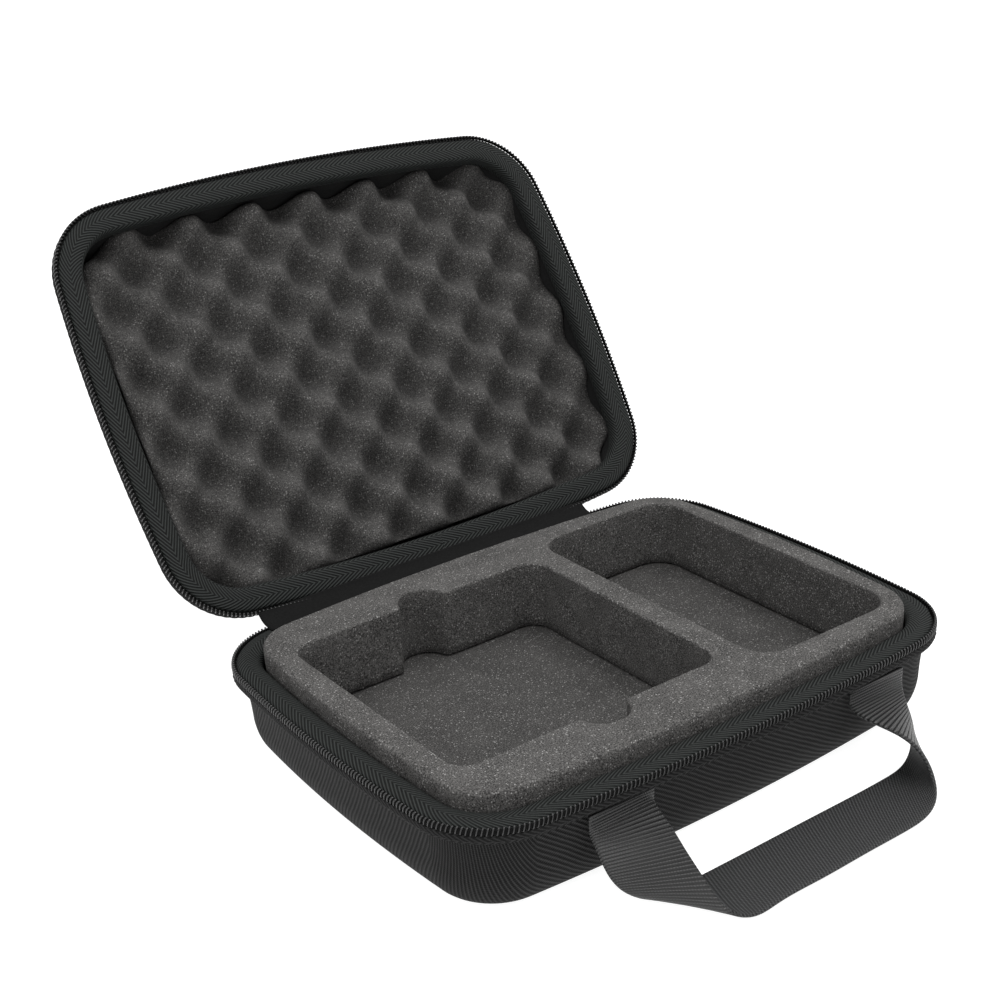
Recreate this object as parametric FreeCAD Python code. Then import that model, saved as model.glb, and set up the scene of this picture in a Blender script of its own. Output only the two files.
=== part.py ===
import FreeCAD, Part
import math
import os

# Miniature carry case: a zipped clamshell of moulded foam sheet under woven fabric, with die-cut
# foam in the base, egg-crate foam in the lid and a webbing handle sewn to the front wall.
#
# Millimetres, +Z up. The origin is the middle of the base's flat bottom, which stands on z = 0.
# X runs along the hinge, -Y is the handle side and +Y the hinge side. Each half is drawn by
# cross-sections in (inset, depth): inset is measured inwards from the half's own outline and
# depth away from the parting plane. The lid is drawn closed and then turned open about the hinge.

os.makedirs("parts", exist_ok=True)
V = FreeCAD.Vector
UP = V(0, 0, 1)
ALONG_HINGE = V(1, 0, 0)

# ---- driving dimensions ----
BASE_WIDTH, BASE_DEPTH = 221.2, 169.6      # over the zipper coil
LID_WIDTH, LID_DEPTH = 223.8, 171.0
CORNER_RADIUS = 30.0
SIDE_BULGES = (2.3, 3.5)                   # how far the short and the long sides bow out
HALF_HEIGHT = 35.0                         # parting plane to the flat outside of either half

HINGE_Y, HINGE_Z = 84.3, 35.7
LID_OPEN_ANGLE = 123.8

FLANGE_LIP_INSET = 1.6
WALL_TOP_INSET = 4.4
WALL_FOOT_DEPTH = 18.0                     # here the wall starts to turn under
WALL_TURN_DEPTH, INNER_TURN_DEPTH = 27.4, 25.3
BASE_WALL = (5.4, 6.3, 9.5, 17.0)          # insets of the wall's foot, its turn's two poles and the flat
LID_WALL = (6.8, 9.2, 13.0, 20.0)
WALL = 3.0
CORE_INSET = 24.0                          # swept rings are closed by a plain plate from here in
FLANGE_TOP = 3.6
LINING = 0.5
SKIN_GAP = 0.1                             # between a skin and what it lies on

FOAM_WIDTH, FOAM_DEPTH = 196.8, 146.4
FOAM_CORNER, FOAM_SIDE_BULGES = 22.0, (0.8, 1.6)
FOAM_TOP = -4.8                            # the tray stands this far above the parting plane
TRAY_UNDERSIDE = 21.9
FLOOR_TOP, FLOOR_UNDERSIDE, FLOOR_INSET = 22.0, 31.2, 0.8
FLOOR_TAPER = 8.0                          # how much the floor draws in at its underside

EGG_CRATE_WIDTH, EGG_CRATE_DEPTH = 198.2, 146.4
EGG_CRATE_OFF_CENTRE = (1.6, -0.8)
EGG_CRATE_CORNER, EGG_CRATE_TAPER = 27.0, 11.2
EGG_CRATE_PEAKS, EGG_CRATE_SHOULDER, EGG_CRATE_BACK = 8.0, 17.0, 31.2

LARGE_POCKET = (-89.1, 16.9, -50.8, 51.0, 8.0)       # x low, x high, y low, y high, corner radius
SMALL_POCKET = (27.1, 89.7, -61.0, 61.8, 10.9)
NOTCH_X, NOTCH_RADIUS, NOTCH_MOUTH_RADIUS = -34.0, 9.0, 2.5

COIL_END_X = 52.0                          # the chain is open across the middle of the hinge side
HINGE_STRIP_LEFT, HINGE_STRIP_RIGHT = -82.5, 67.5
BASE_LEAF_INSET, LID_LEAF_INSET, HINGE_LEAF_WIDTH = 7.6, 6.2, 1.8
HINGE_LEAF_DEPTH, HINGE_LEAF_THICKNESS = 0.12, 0.4

WEBBING_THICKNESS = 1.4
HANDLE_Y = -81.2                           # the webbing hangs straight down here, just off the wall
HANDLE_LEFT, HANDLE_RIGHT = (-64.9, -39.4), (46.3, 71.8)
SEWN_END_TOP, SEWN_END_LOW, HANDLE_BEND_Z = 28.2, 25.8, 23.5

SLIDER_X, SLIDER_LENGTH, SLIDER_THICKNESS = 58.0, 8.6, 1.2
SLIDER_LOW, SLIDER_HIGH = 28.6, 34.2
SLIDER_OFF_COIL = 0.25
BAIL_OUT, BAIL_Z, BAIL_RADIUS, BAIL_HALF = 2.9, 31.0, 0.6, 2.6
KNUCKLE_RADIUS, KNUCKLE_HALF, KNUCKLE_CLEARANCE = 1.3, 1.7, 0.06
PULL_LENGTH, PULL_WIDTH, PULL_THICKNESS = 23.0, 5.0, 1.3


class Half:
    """A rounded outline of tangent arcs in one half of the clamshell, swept with cross-sections."""

    def __init__(self, width, depth, direction, corner_radius=CORNER_RADIUS, bulges=SIDE_BULGES):
        self.direction = direction
        self.back = depth / 2
        short_bulge, long_bulge = bulges
        flat_x = width / 2 - corner_radius
        flat_y = depth / 2 - corner_radius
        short_radius = (flat_y ** 2 + short_bulge ** 2) / (2 * short_bulge)
        long_radius = (flat_x ** 2 + long_bulge ** 2) / (2 * long_bulge)
        side = V(width / 2 - short_radius, 0, 0)
        rear = V(0, depth / 2 - long_radius, 0)
        corner = self.tangent_centre(side, short_radius - corner_radius, rear, long_radius - corner_radius)
        low = math.degrees(math.atan2(corner.y, corner.x - side.x))
        high = math.degrees(math.atan2(corner.y - rear.y, corner.x))
        self.arcs = []
        for turn, mirror in ((0, 1), (180, -1)):
            self.arcs.append((side * mirror, short_radius, turn - low, 2 * low))
            self.arcs.append((corner * mirror, corner_radius, turn + low, high - low))
            self.arcs.append((rear * mirror, long_radius, turn + high, 180 - 2 * high))
            other_corner = V(-corner.x, corner.y, 0) * mirror
            self.arcs.append((other_corner, corner_radius, turn + 180 - high, high - low))

    @staticmethod
    def tangent_centre(first, first_distance, second, second_distance):
        """The point at the given distances from two centres, on the outer side."""
        between = second - first
        along = (first_distance ** 2 - second_distance ** 2 + between.Length ** 2) / (2 * between.Length)
        across = math.sqrt(first_distance ** 2 - along ** 2)
        unit = between / between.Length
        return first + unit * along + V(-unit.y, unit.x, 0) * across

    def height(self, depth):
        return HALF_HEIGHT + self.direction * depth

    def hinge_side_y(self, x):
        """How far back the outline reaches at this x, on its long hinge side."""
        rear, radius = self.arcs[2][0:2]
        return rear.y + math.sqrt(radius ** 2 - x ** 2)

    def edge(self, points, radius):
        """A straight edge through two (inset, depth) points, or a Bezier curve through four poles."""
        poles = [V(radius - inset, 0, self.height(depth)) for inset, depth in points]
        if len(poles) == 2:
            return Part.makeLine(*poles)
        curve = Part.BezierCurve()
        curve.setPoles(poles)
        return curve.toShape()

    def ring(self, profile):
        """Sweeps a closed (inset, depth) profile all the way round the outline."""
        pieces = []
        for centre, radius, start, sweep in self.arcs:
            face = Part.Face(Part.Wire([self.edge(points, radius) for points in profile]))
            face.rotate(V(0, 0, 0), UP, start)
            face.translate(centre)
            pieces.append(face.revolve(centre, UP, sweep))
        return pieces[0].multiFuse(pieces[1:]).removeSplitter()

    def wire(self, inset, depth):
        """The outline drawn in by the inset, as a closed wire at a depth."""
        edges = []
        for centre, radius, start, sweep in self.arcs:
            circle = Part.Circle(centre + V(0, 0, self.height(depth)), UP, radius - inset)
            edges.append(Part.Arc(circle, math.radians(start), math.radians(start + sweep)).toShape())
        return Part.Wire(edges)

    def plate(self, inset, top, bottom):
        """A flat plate with the outline's shape, between two depths."""
        return Part.Face(self.wire(inset, top)).extrude(V(0, 0, self.height(bottom) - self.height(top)))

    def tapered_plate(self, inset, top, bottom, taper):
        """The same, drawn in further by the taper at its bottom."""
        return Part.makeLoft([self.wire(inset, top), self.wire(inset + taper, bottom)], True, True)

    def dish(self, profile, top, bottom):
        """A ring whose profile reaches CORE_INSET, closed by a plate there."""
        return self.ring(profile).fuse(self.plate(CORE_INSET, top, bottom)).removeSplitter()

    def without_hinge_side(self, shape, half_gap):
        """Takes out the middle of the hinge side, as the zipper chain ends there."""
        corner = V(-half_gap, self.back - CORNER_RADIUS, -HALF_HEIGHT)
        return shape.cut(Part.makeBox(2 * half_gap, 2 * CORNER_RADIUS, 4 * HALF_HEIGHT, corner))


BASE = Half(BASE_WIDTH, BASE_DEPTH, -1)
LID = Half(LID_WIDTH, LID_DEPTH, 1)
BASE_FOAM = Half(FOAM_WIDTH, FOAM_DEPTH, -1, FOAM_CORNER, FOAM_SIDE_BULGES)
LID_FOAM = Half(EGG_CRATE_WIDTH, EGG_CRATE_DEPTH, 1, EGG_CRATE_CORNER, FOAM_SIDE_BULGES)


def polygon(corners):
    """Straight profile edges through the corners, closed."""
    return [(start, end) for start, end in zip(corners, corners[1:] + corners[:1])]


def opened(shape):
    """Turns a piece of the closed lid to where the open lid holds it."""
    return shape.rotated(V(0, HINGE_Y, HINGE_Z), ALONG_HINGE, -LID_OPEN_ANGLE)


def shell(half, wall):
    """Moulded shell: sewing flange, wall, rounded foot and flat outside."""
    foot, turn, under, flat = wall
    floor = HALF_HEIGHT - WALL
    inner_foot, inner_turn, inner_under, inner_flat = foot + 2.8, turn + 2.8, under + 2.9, flat + 1.5
    profile = [
        ((WALL_TOP_INSET + WALL, FLANGE_TOP), (2.2, FLANGE_TOP)),
        ((2.2, FLANGE_TOP), (FLANGE_LIP_INSET, 4.2)),
        ((FLANGE_LIP_INSET, 4.2), (FLANGE_LIP_INSET, 5.4)),
        ((FLANGE_LIP_INSET, 5.4), (WALL_TOP_INSET, 6.6)),
        ((WALL_TOP_INSET, 6.6), (foot, WALL_FOOT_DEPTH)),
        ((foot, WALL_FOOT_DEPTH), (turn, WALL_TURN_DEPTH), (under, HALF_HEIGHT), (flat, HALF_HEIGHT)),
        ((flat, HALF_HEIGHT), (CORE_INSET, HALF_HEIGHT)),
        ((CORE_INSET, HALF_HEIGHT), (CORE_INSET, floor)),
        ((CORE_INSET, floor), (inner_flat, floor)),
        ((inner_flat, floor), (inner_under, floor), (inner_turn, INNER_TURN_DEPTH),
         (inner_foot, WALL_FOOT_DEPTH)),
        ((inner_foot, WALL_FOOT_DEPTH), (WALL_TOP_INSET + WALL, FLANGE_TOP)),
    ]
    return half.dish(profile, floor, HALF_HEIGHT)


def lining(half, wall):
    """Thin cloth skin inside the shell."""
    foot, turn, under, flat = wall
    top = 5.2
    back = HALF_HEIGHT - WALL - SKIN_GAP
    front = back - LINING
    outer_foot, outer_turn, outer_under, inner_flat = foot + 2.9, turn + 2.9, under + 3.0, flat + 1.5
    flange_inset = WALL_TOP_INSET + WALL + SKIN_GAP
    share = (top - FLANGE_TOP) / (WALL_FOOT_DEPTH - FLANGE_TOP)
    outer_top = flange_inset + share * (outer_foot - flange_inset)
    profile = [
        ((outer_top, top), (outer_foot, WALL_FOOT_DEPTH)),
        ((outer_foot, WALL_FOOT_DEPTH), (outer_turn, INNER_TURN_DEPTH), (outer_under, back),
         (inner_flat, back)),
        ((inner_flat, back), (CORE_INSET, back)),
        ((CORE_INSET, back), (CORE_INSET, front)),
        ((CORE_INSET, front), (inner_flat, front)),
        ((inner_flat, front), (outer_under + 0.4, front), (outer_turn + LINING, INNER_TURN_DEPTH),
         (outer_foot + LINING, WALL_FOOT_DEPTH)),
        ((outer_foot + LINING, WALL_FOOT_DEPTH), (outer_top + LINING, top)),
        ((outer_top + LINING, top), (outer_top, top)),
    ]
    return half.dish(profile, front, back)


def zipper_tape(half):
    """Woven tape of the half zipper: flat on the flange and turned down over its lip."""
    corners = [(7.3, 2.8), (2.8, 2.8), (1.7, 3.3), (1.0, 4.1), (0.9, 5.7), (1.5, 5.7), (1.5, 4.2),
               (2.1, 3.5), (7.3, 3.5)]
    return half.ring(polygon(corners))


def zipper_coil(half):
    """Nylon coil of the half zipper, leaning outwards, open across the hinge side."""
    corners = [(1.8, 0.2), (0.9, 0.2), (0.0, 1.2), (0.0, 3.5), (0.7, 3.6), (1.4, 2.6), (1.8, 1.5)]
    return half.without_hinge_side(half.ring(polygon(corners)), COIL_END_X)


def binding(half):
    """Twill tape that rolls over the sewn edge from the coil to the lining."""
    corners = [(2.8, 1.6), (3.6, 0.8), (5.2, 0.6), (7.6, 0.6), (9.1, 1.3), (9.6, 2.8), (9.6, 4.6),
               (9.0, 4.6), (8.9, 3.3), (8.0, 2.6), (2.8, 2.6)]
    return half.ring(polygon(corners))


def rim_stitching(half):
    """Sewing thread along the lip, outside the tape."""
    return half.ring(polygon([(0.3, 4.7), (0.5, 4.7), (0.5, 5.1), (0.3, 5.1)]))


def rounded_rectangle(low_x, high_x, low_y, high_y, radius, z):
    """Wire of a rectangle with round corners, in a level plane."""
    edges = []
    corners = ((high_x, high_y, -1, -1), (low_x, high_y, 1, -1), (low_x, low_y, 1, 1), (high_x, low_y, -1, 1))
    arcs = []
    for quarter, (x, y, to_x, to_y) in enumerate(corners):
        circle = Part.Circle(V(x + to_x * radius, y + to_y * radius, z), UP, radius)
        start = quarter * math.pi / 2
        arcs.append(Part.Arc(circle, start, start + math.pi / 2).toShape())
    for arc, following in zip(arcs, arcs[1:] + arcs[:1]):
        edges.append(arc)
        edges.append(Part.makeLine(arc.Vertexes[-1].Point, following.Vertexes[0].Point))
    return Part.Wire(edges)


def finger_notch(wall_y, z_low, height):
    """Half-round finger notch in a long wall of the large pocket."""
    return Part.makeCylinder(NOTCH_RADIUS, height, V(NOTCH_X, wall_y, z_low))


def rounded_notch_mouths(tray):
    """Rounds the upright edges where the notches meet the pocket wall."""
    mouths = []
    for edge in tray.Edges:
        first, last = edge.Vertexes[0].Point, edge.Vertexes[-1].Point
        upright = abs(first.z - last.z) > 1 and math.hypot(first.x - last.x, first.y - last.y) < 0.01
        if upright and abs(abs(first.x - NOTCH_X) - NOTCH_RADIUS) < 0.01:
            mouths.append(edge)
    return tray.makeFillet(NOTCH_MOUTH_RADIUS, mouths)


def foam_tray():
    """Die-cut block of the base, cut through by two pockets and two finger notches."""
    low, high = BASE.height(TRAY_UNDERSIDE), BASE.height(FOAM_TOP)
    tray = BASE_FOAM.plate(0, FOAM_TOP, TRAY_UNDERSIDE)
    for pocket in (LARGE_POCKET, SMALL_POCKET):
        cutter = Part.Face(rounded_rectangle(*pocket, low)).extrude(V(0, 0, high - low))
        tray = tray.cut(cutter)
    for wall_y in LARGE_POCKET[2:4]:
        tray = tray.cut(finger_notch(wall_y, low, high - low))
    return rounded_notch_mouths(tray)


def foam_floor():
    """Separate sheet under the tray: the floor of both pockets."""
    return BASE_FOAM.tapered_plate(FLOOR_INSET, FLOOR_TOP, FLOOR_UNDERSIDE, FLOOR_TAPER)


def egg_crate_foam():
    """Egg-crate pad of the lid, as a plain block between its peaks and its back."""
    upper = LID_FOAM.plate(0, EGG_CRATE_PEAKS, EGG_CRATE_SHOULDER)
    lower = LID_FOAM.tapered_plate(0, EGG_CRATE_SHOULDER, EGG_CRATE_BACK, EGG_CRATE_TAPER)
    return upper.fuse(lower).removeSplitter().translated(V(*EGG_CRATE_OFF_CENTRE, 0))


def hinge_leaf(half, inset):
    """The part of the cloth hinge strip that is sewn to one half's binding, from this inset in."""
    near, far = sorted(half.height(HINGE_LEAF_DEPTH + t) for t in (0, HINGE_LEAF_THICKNESS))
    corner = V(HINGE_STRIP_LEFT, half.back - inset - HINGE_LEAF_WIDTH, near)
    return Part.makeBox(HINGE_STRIP_RIGHT - HINGE_STRIP_LEFT, HINGE_LEAF_WIDTH, far - near, corner)


def handle_edges():
    """The two edges of the webbing, from the left root to the right one.

    The first is the edge on the outside of each leg, which lies on the case side of the bar; the
    second is the inside of each leg, which comes round to the front of the bar.
    """
    outside_of_leg = [
        (HANDLE_LEFT[0], HANDLE_Y, HANDLE_BEND_Z), (-64.3, -82.6, 19.0), (-63.2, -85.6, 12.0),
        (-61.0, -89.6, 5.8), (-55.8, -93.4, 2.3), (-46.0, -95.6, 1.4), (-32.0, -96.4, 1.3),
        (-12.0, -96.5, 1.3), (10.0, -96.5, 1.3), (32.0, -96.6, 1.3), (47.0, -96.5, 1.4),
        (58.0, -95.6, 2.4), (65.2, -92.6, 6.5), (69.0, -87.6, 14.0),
        (HANDLE_RIGHT[1], HANDLE_Y, HANDLE_BEND_Z)]
    inside_of_leg = [
        (HANDLE_LEFT[1], HANDLE_Y, HANDLE_BEND_Z), (-40.2, -88.0, 19.6), (-41.0, -96.5, 14.8),
        (-42.0, -106.5, 9.4), (-42.0, -115.4, 4.5), (-37.6, -120.6, 2.1), (-26.0, -121.3, 1.9),
        (-8.0, -121.3, 2.0), (12.0, -121.3, 2.2), (30.0, -121.3, 2.2), (42.5, -120.0, 2.8),
        (50.0, -115.8, 5.6), (52.4, -109.4, 12.1), (49.8, -99.5, 18.8),
        (HANDLE_RIGHT[0], HANDLE_Y, HANDLE_BEND_Z)]
    return outside_of_leg, inside_of_leg


def spline(points, parameters):
    curve = Part.BSplineCurve()
    curve.interpolate(Points=points, Parameters=parameters)
    return curve.toShape()


def run_lengths(points):
    """Distance along a line of points, up to each of them."""
    lengths = [0.0]
    for start, end in zip(points, points[1:]):
        lengths.append(lengths[-1] + start.distanceToPoint(end))
    return lengths


def handle_webbing():
    """Webbing loop: flat on the wall at both roots, turning so that its bar lies on its face."""
    outside, inside = ([V(*point) for point in edge] for edge in handle_edges())
    middle = [(a + b) * 0.5 for a, b in zip(outside, inside)]
    faces = {1: ([], []), -1: ([], [])}
    for index, (a, b) in enumerate(zip(outside, inside)):
        forward = middle[min(index + 1, len(middle) - 1)] - middle[max(index - 1, 0)]
        normal = forward.cross(b - a)
        normal.normalize()
        for side, (first, second) in faces.items():
            first.append(a + normal * side * WEBBING_THICKNESS / 2)
            second.append(b + normal * side * WEBBING_THICKNESS / 2)
    parameters = run_lengths(middle)
    edges = [spline(points, parameters) for points in (*faces[1], *reversed(faces[-1]))]
    skins = [Part.makeRuledSurface(one, other) for one, other in zip(edges, edges[1:] + edges[:1])]
    for end in (0, -1):
        corners = [edge.Vertexes[end].Point for edge in edges]
        skins.append(Part.Face(Part.makePolygon(corners + corners[:1])))
    sewn = Part.Shell(skins)
    sewn.sewShape()
    return Part.Solid(sewn)


def sewn_end(span):
    """End of the webbing that is sewn in under the flange, down to where the handle bends."""
    corner = V(span[0], HANDLE_Y - WEBBING_THICKNESS / 2, SEWN_END_LOW)
    return Part.makeBox(span[1] - span[0], WEBBING_THICKNESS, SEWN_END_TOP - SEWN_END_LOW, corner)


def zipper_stop(side):
    """Moulded stop over the end of the zipper coil."""
    length, across, height, proud, underside = 2.4, 2.7, 2.5, 0.1, 2.65
    back = BASE.hinge_side_y(COIL_END_X) + proud
    corner = V(side * COIL_END_X - length / 2, back - across, BASE.height(underside))
    block = Part.makeBox(length, across, height, corner)
    return block.makeFillet(0.4, [edge for edge in block.Edges if edge.BoundBox.XLength < 0.1])


def slider_face_y():
    """Inner face of the slider's plate, just off the coil at the parked place."""
    return BASE.hinge_side_y(SLIDER_X - SLIDER_LENGTH / 2) + SLIDER_OFF_COIL


def slider_body(side):
    """Slider face plate outside the coil, with the bail that carries the pull."""
    x = side * SLIDER_X
    face_y = slider_face_y()
    height = SLIDER_HIGH - SLIDER_LOW
    corner = V(x - SLIDER_LENGTH / 2, face_y, SLIDER_LOW)
    plate = Part.makeBox(SLIDER_LENGTH, SLIDER_THICKNESS, height, corner)
    plate = plate.makeFillet(1.6, [edge for edge in plate.Edges if edge.BoundBox.YLength > 1])
    bail_start = V(x - BAIL_HALF, face_y + BAIL_OUT, BAIL_Z)
    bail = Part.makeCylinder(BAIL_RADIUS, 2 * BAIL_HALF, bail_start, ALONG_HINGE)
    leg_width, rooting = 0.8, 0.1
    legs = []
    for end in (-1, 1):
        leg_x = x + end * (BAIL_HALF - leg_width / 2) - leg_width / 2
        corner = V(leg_x, face_y + SLIDER_THICKNESS - rooting, BAIL_Z - BAIL_RADIUS)
        reach = BAIL_OUT - SLIDER_THICKNESS + rooting
        legs.append(Part.makeBox(leg_width, reach, 2 * BAIL_RADIUS, corner))
    return plate.multiFuse([bail] + legs).removeSplitter()


def pull_tab(side):
    """Pull that hangs from the bail by a knuckle."""
    x = side * SLIDER_X
    bail_y = slider_face_y() + BAIL_OUT
    start = V(x - KNUCKLE_HALF, bail_y, BAIL_Z)
    knuckle = Part.makeCylinder(KNUCKLE_RADIUS, 2 * KNUCKLE_HALF, start, ALONG_HINGE)
    bore = Part.makeCylinder(BAIL_RADIUS + KNUCKLE_CLEARANCE, 2 * KNUCKLE_HALF, start, ALONG_HINGE)
    front = bail_y - PULL_THICKNESS / 2
    neck_height = 4.0
    neck_low = BAIL_Z - KNUCKLE_RADIUS + 0.3 - neck_height
    neck = Part.makeBox(2 * KNUCKLE_HALF, PULL_THICKNESS, neck_height, V(x - KNUCKLE_HALF, front, neck_low))
    bottom = BAIL_Z - PULL_LENGTH
    grip_corner = V(x - PULL_WIDTH / 2, front, bottom)
    grip = Part.makeBox(PULL_WIDTH, PULL_THICKNESS, neck_low + 1 - bottom, grip_corner)
    grip = grip.makeFillet(1.8, [edge for edge in grip.Edges if edge.BoundBox.YLength > 1])
    return knuckle.multiFuse([neck, grip]).cut(bore).removeSplitter()


def build():
    """Every node of the case by name."""
    nodes = {
        "base_shell": shell(BASE, BASE_WALL),
        "base_lining": lining(BASE, BASE_WALL),
        "base_zipper_tape": zipper_tape(BASE),
        "base_zipper_coil": zipper_coil(BASE),
        "base_binding_tape": binding(BASE),
        "base_rim_stitching": rim_stitching(BASE),
        "foam_tray": foam_tray(),
        "foam_floor": foam_floor(),
        "hinge_strip_base": hinge_leaf(BASE, BASE_LEAF_INSET),
        "handle_webbing": handle_webbing(),
        "handle_sewn_end_left": sewn_end(HANDLE_LEFT),
        "handle_sewn_end_right": sewn_end(HANDLE_RIGHT),
        "lid_shell": opened(shell(LID, LID_WALL)),
        "lid_lining": opened(lining(LID, LID_WALL)),
        "lid_zipper_tape": opened(zipper_tape(LID)),
        "lid_zipper_coil": opened(zipper_coil(LID)),
        "lid_binding_tape": opened(binding(LID)),
        "lid_rim_stitching": opened(rim_stitching(LID)),
        "egg_crate_foam": opened(egg_crate_foam()),
        "hinge_strip_lid": opened(hinge_leaf(LID, LID_LEAF_INSET)),
    }
    for name, side in (("left", -1), ("right", 1)):
        nodes["zipper_stop_" + name] = zipper_stop(side)
        nodes["slider_" + name] = slider_body(side)
        nodes["pull_tab_" + name] = pull_tab(side)
    return nodes


for name, shape in build().items():
    state = "valid" if shape.isValid() else "NOT VALID"
    print(name, state, "solids", len(shape.Solids), "volume", round(shape.Volume))
    shape.exportStep("parts/" + name + ".step")
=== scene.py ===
import math

import bmesh
import bpy
import numpy as np
from mathutils import Matrix, Vector
from mathutils import noise


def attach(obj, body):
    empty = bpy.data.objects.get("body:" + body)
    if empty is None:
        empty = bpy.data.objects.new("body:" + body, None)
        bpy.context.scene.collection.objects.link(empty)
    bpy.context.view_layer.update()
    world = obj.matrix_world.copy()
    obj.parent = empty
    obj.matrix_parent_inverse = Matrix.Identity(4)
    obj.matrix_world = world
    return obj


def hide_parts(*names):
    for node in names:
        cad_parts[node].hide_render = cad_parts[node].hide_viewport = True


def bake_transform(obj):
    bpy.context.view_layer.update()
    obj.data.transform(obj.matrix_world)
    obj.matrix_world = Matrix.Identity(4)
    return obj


# Looks of the miniature carry case. Metres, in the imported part's frame: +Z up, the base's flat
# bottom on z = 0, X along the hinge, -Y the handle side. A profile is a list of (inset, depth):
# inset is measured inwards from a half's outline and depth away from the parting plane.

# ---- the part's own dimensions ----
PARTING_Z = 0.035
HINGE_Y, HINGE_Z = 0.0843, 0.0357
LID_OPEN_ANGLE = math.radians(-123.8)
BASE_WIDTH, BASE_DEPTH = 0.2212, 0.1696
LID_WIDTH, LID_DEPTH = 0.2238, 0.1710
CORNER_RADIUS, SHORT_SIDE_BULGE, LONG_SIDE_BULGE = 0.030, 0.0023, 0.0035
BASE_FOOT = [(0.0048, 0.0120), (0.0054, 0.0180), (0.0057, 0.0250), (0.0078, 0.0312), (0.0110, 0.0342),
             (0.0170, 0.0350)]                     # wall, turn and flat, as (inset, depth)
LID_FOOT = [(0.0055, 0.0120), (0.0068, 0.0180), (0.0087, 0.0248), (0.0113, 0.0304), (0.0147, 0.0342),
            (0.0200, 0.0350)]
COIL_END_X = 0.052
TRAY_INSET, FLOOR_INSET, FLOOR_FOOT_TAPER = 0.0116, 0.0124, 0.008
TRAY_TOP_Z, TRAY_UNDERSIDE_Z, FLOOR_UNDERSIDE_Z = 0.0398, 0.0131, 0.0039
LARGE_POCKET = (-0.0891, 0.0169, -0.0508, 0.0510, 0.0080)
SMALL_POCKET = (0.0271, 0.0897, -0.0610, 0.0618, 0.0109)
NOTCH_X, NOTCH_RADIUS, NOTCH_MOUTH_RADIUS = -0.034, 0.009, 0.0025
EGG_CRATE_WIDTH, EGG_CRATE_DEPTH, EGG_CRATE_CORNER = 0.2002, 0.1495, 0.0240
EGG_CRATE_CENTRE = (0.0032, -0.0012)
EGG_CRATE_PEAK_DEPTH, EGG_CRATE_VALLEY_DEPTH, EGG_CRATE_BACK_DEPTH = 0.0080, 0.0205, 0.0308
EGG_CRATE_SIDE_DEPTH, EGG_CRATE_SIDE_REACH = 0.0087, 0.0160
EGG_CRATE_PUCKER = (0.0009, 0.0032)                               # how far the edges draw in at the hollows
HINGE_STRIP_LEFT, HINGE_STRIP_RIGHT = -0.0825, 0.0675
HANDLE_Y, SEWN_END_TOP_Z, SEWN_END_LOW_Z, HANDLE_BEND_Z = -0.0812, 0.0282, 0.0258, 0.0235
WEBBING_THICKNESS = 0.0014

# ---- detail sizes ----
OUTLINE_STEP = 0.0015
COIL_PITCH, COIL_WIRE_RADIUS, COIL_HEAD_SWELL = 0.00157, 0.00027, 0.5
COIL_HEAD, COIL_TAIL = (0.00085, 0.00050), (0.00080, 0.0028)  # (inset, depth) of each turn's two ends
BASE_BINDING, LID_BINDING = (0.0111, 0.0050), (0.0113, 0.0066)  # how far in the lip is, and how deep
COIL_HALF_THICKNESS, COIL_CORE_SHARE = 0.00045, 0.75
STITCH_LENGTH, STITCH_GAP, STITCH_RADIUS = 0.0026, 0.0007, 0.00016
EGG_CRATE_PITCH_X, EGG_CRATE_PITCH_Y = 0.0269, 0.0280           # peak to peak along each row and column
EGG_CRATE_FIRST_PEAK = (0.0075, 0.1560)                         # x, and distance from the hinge line
HINGE_CLOTH_LINE = [(0.0762, 0.0345), (0.0782, 0.0345), (0.0803, 0.0347), (0.0824, 0.0352), (0.0842, 0.0362),
                    (0.0853, 0.0371), (0.0860, 0.0379)]         # (y, z) from the base's binding to the lid's
SHELL_RIB_PITCH, SHELL_RIB_ANGLE = 0.00156, math.radians(33.4)
HERRINGBONE_PITCH, HERRINGBONE_ANGLE, HERRINGBONE_COLUMN = 0.00105, math.radians(28), 0.0042
WEBBING_RIB_PITCH, WEBBING_TWILL_PITCH = 0.00112, 0.00105
WEBBING_STEP, FOAM_WAVER = 0.0012, 0.00022
SKY_HORIZON, SKY_ZENITH = 0.45, 1.75       # brightness of the studio's surroundings
CAMERA_ANGLES, CAMERA_LENS = (-35.17, 23.09, -3.16), 59.93      # azimuth, elevation and roll in degrees; mm
CAMERA_PLACE = (-0.3204, -0.4076, 0.3077)

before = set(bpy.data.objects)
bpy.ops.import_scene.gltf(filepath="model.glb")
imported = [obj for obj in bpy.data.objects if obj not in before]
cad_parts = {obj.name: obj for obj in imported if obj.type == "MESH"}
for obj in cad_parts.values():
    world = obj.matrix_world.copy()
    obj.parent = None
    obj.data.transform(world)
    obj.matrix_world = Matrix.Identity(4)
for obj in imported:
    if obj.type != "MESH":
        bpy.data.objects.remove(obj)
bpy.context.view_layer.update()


# ---------------------------------------------------------------- outlines

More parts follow.
